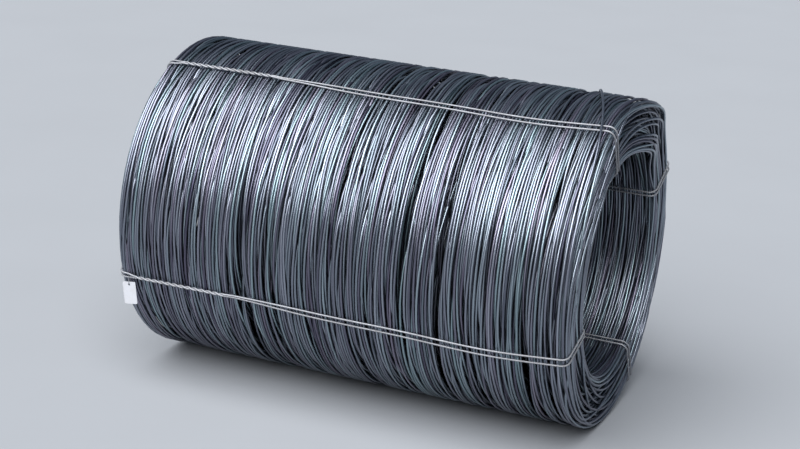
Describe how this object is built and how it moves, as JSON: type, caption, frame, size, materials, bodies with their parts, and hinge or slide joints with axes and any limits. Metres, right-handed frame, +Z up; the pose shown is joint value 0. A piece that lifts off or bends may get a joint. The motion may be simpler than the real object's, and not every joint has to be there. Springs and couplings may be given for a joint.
{
  "type": "wire rod coil",
  "caption": "Cylindrical coil of steel wire rod lying on its barrel, thick hollow wall of overlapping turns, bound with doubled wires and hung with a blank tag.",
  "frame": {"origin": "on the floor, under the middle of the coil", "axes": "+X along the bore towards the right-hand end, -Y the front as the picture shows it, +Z up"},
  "size_m": [1.8136, 1.25, 1.25],
  "materials": {
    "wound_rod": "blue-grey mill scale, satin",
    "binding_wire": "dull bare steel wire",
    "tag_wire": "dull thin steel wire",
    "tag": "matt off-white, blank"
  },
  "bodies": {
    "root": {"rod_coil": "wound_rod", "binding_wire_lower_front": "binding_wire", "binding_wire_upper_front": "binding_wire", "binding_wire_upper_back": "binding_wire", "binding_wire_lower_back": "binding_wire", "tag_wire": "tag_wire", "tag": "tag"}
  },
  "joints": []
}
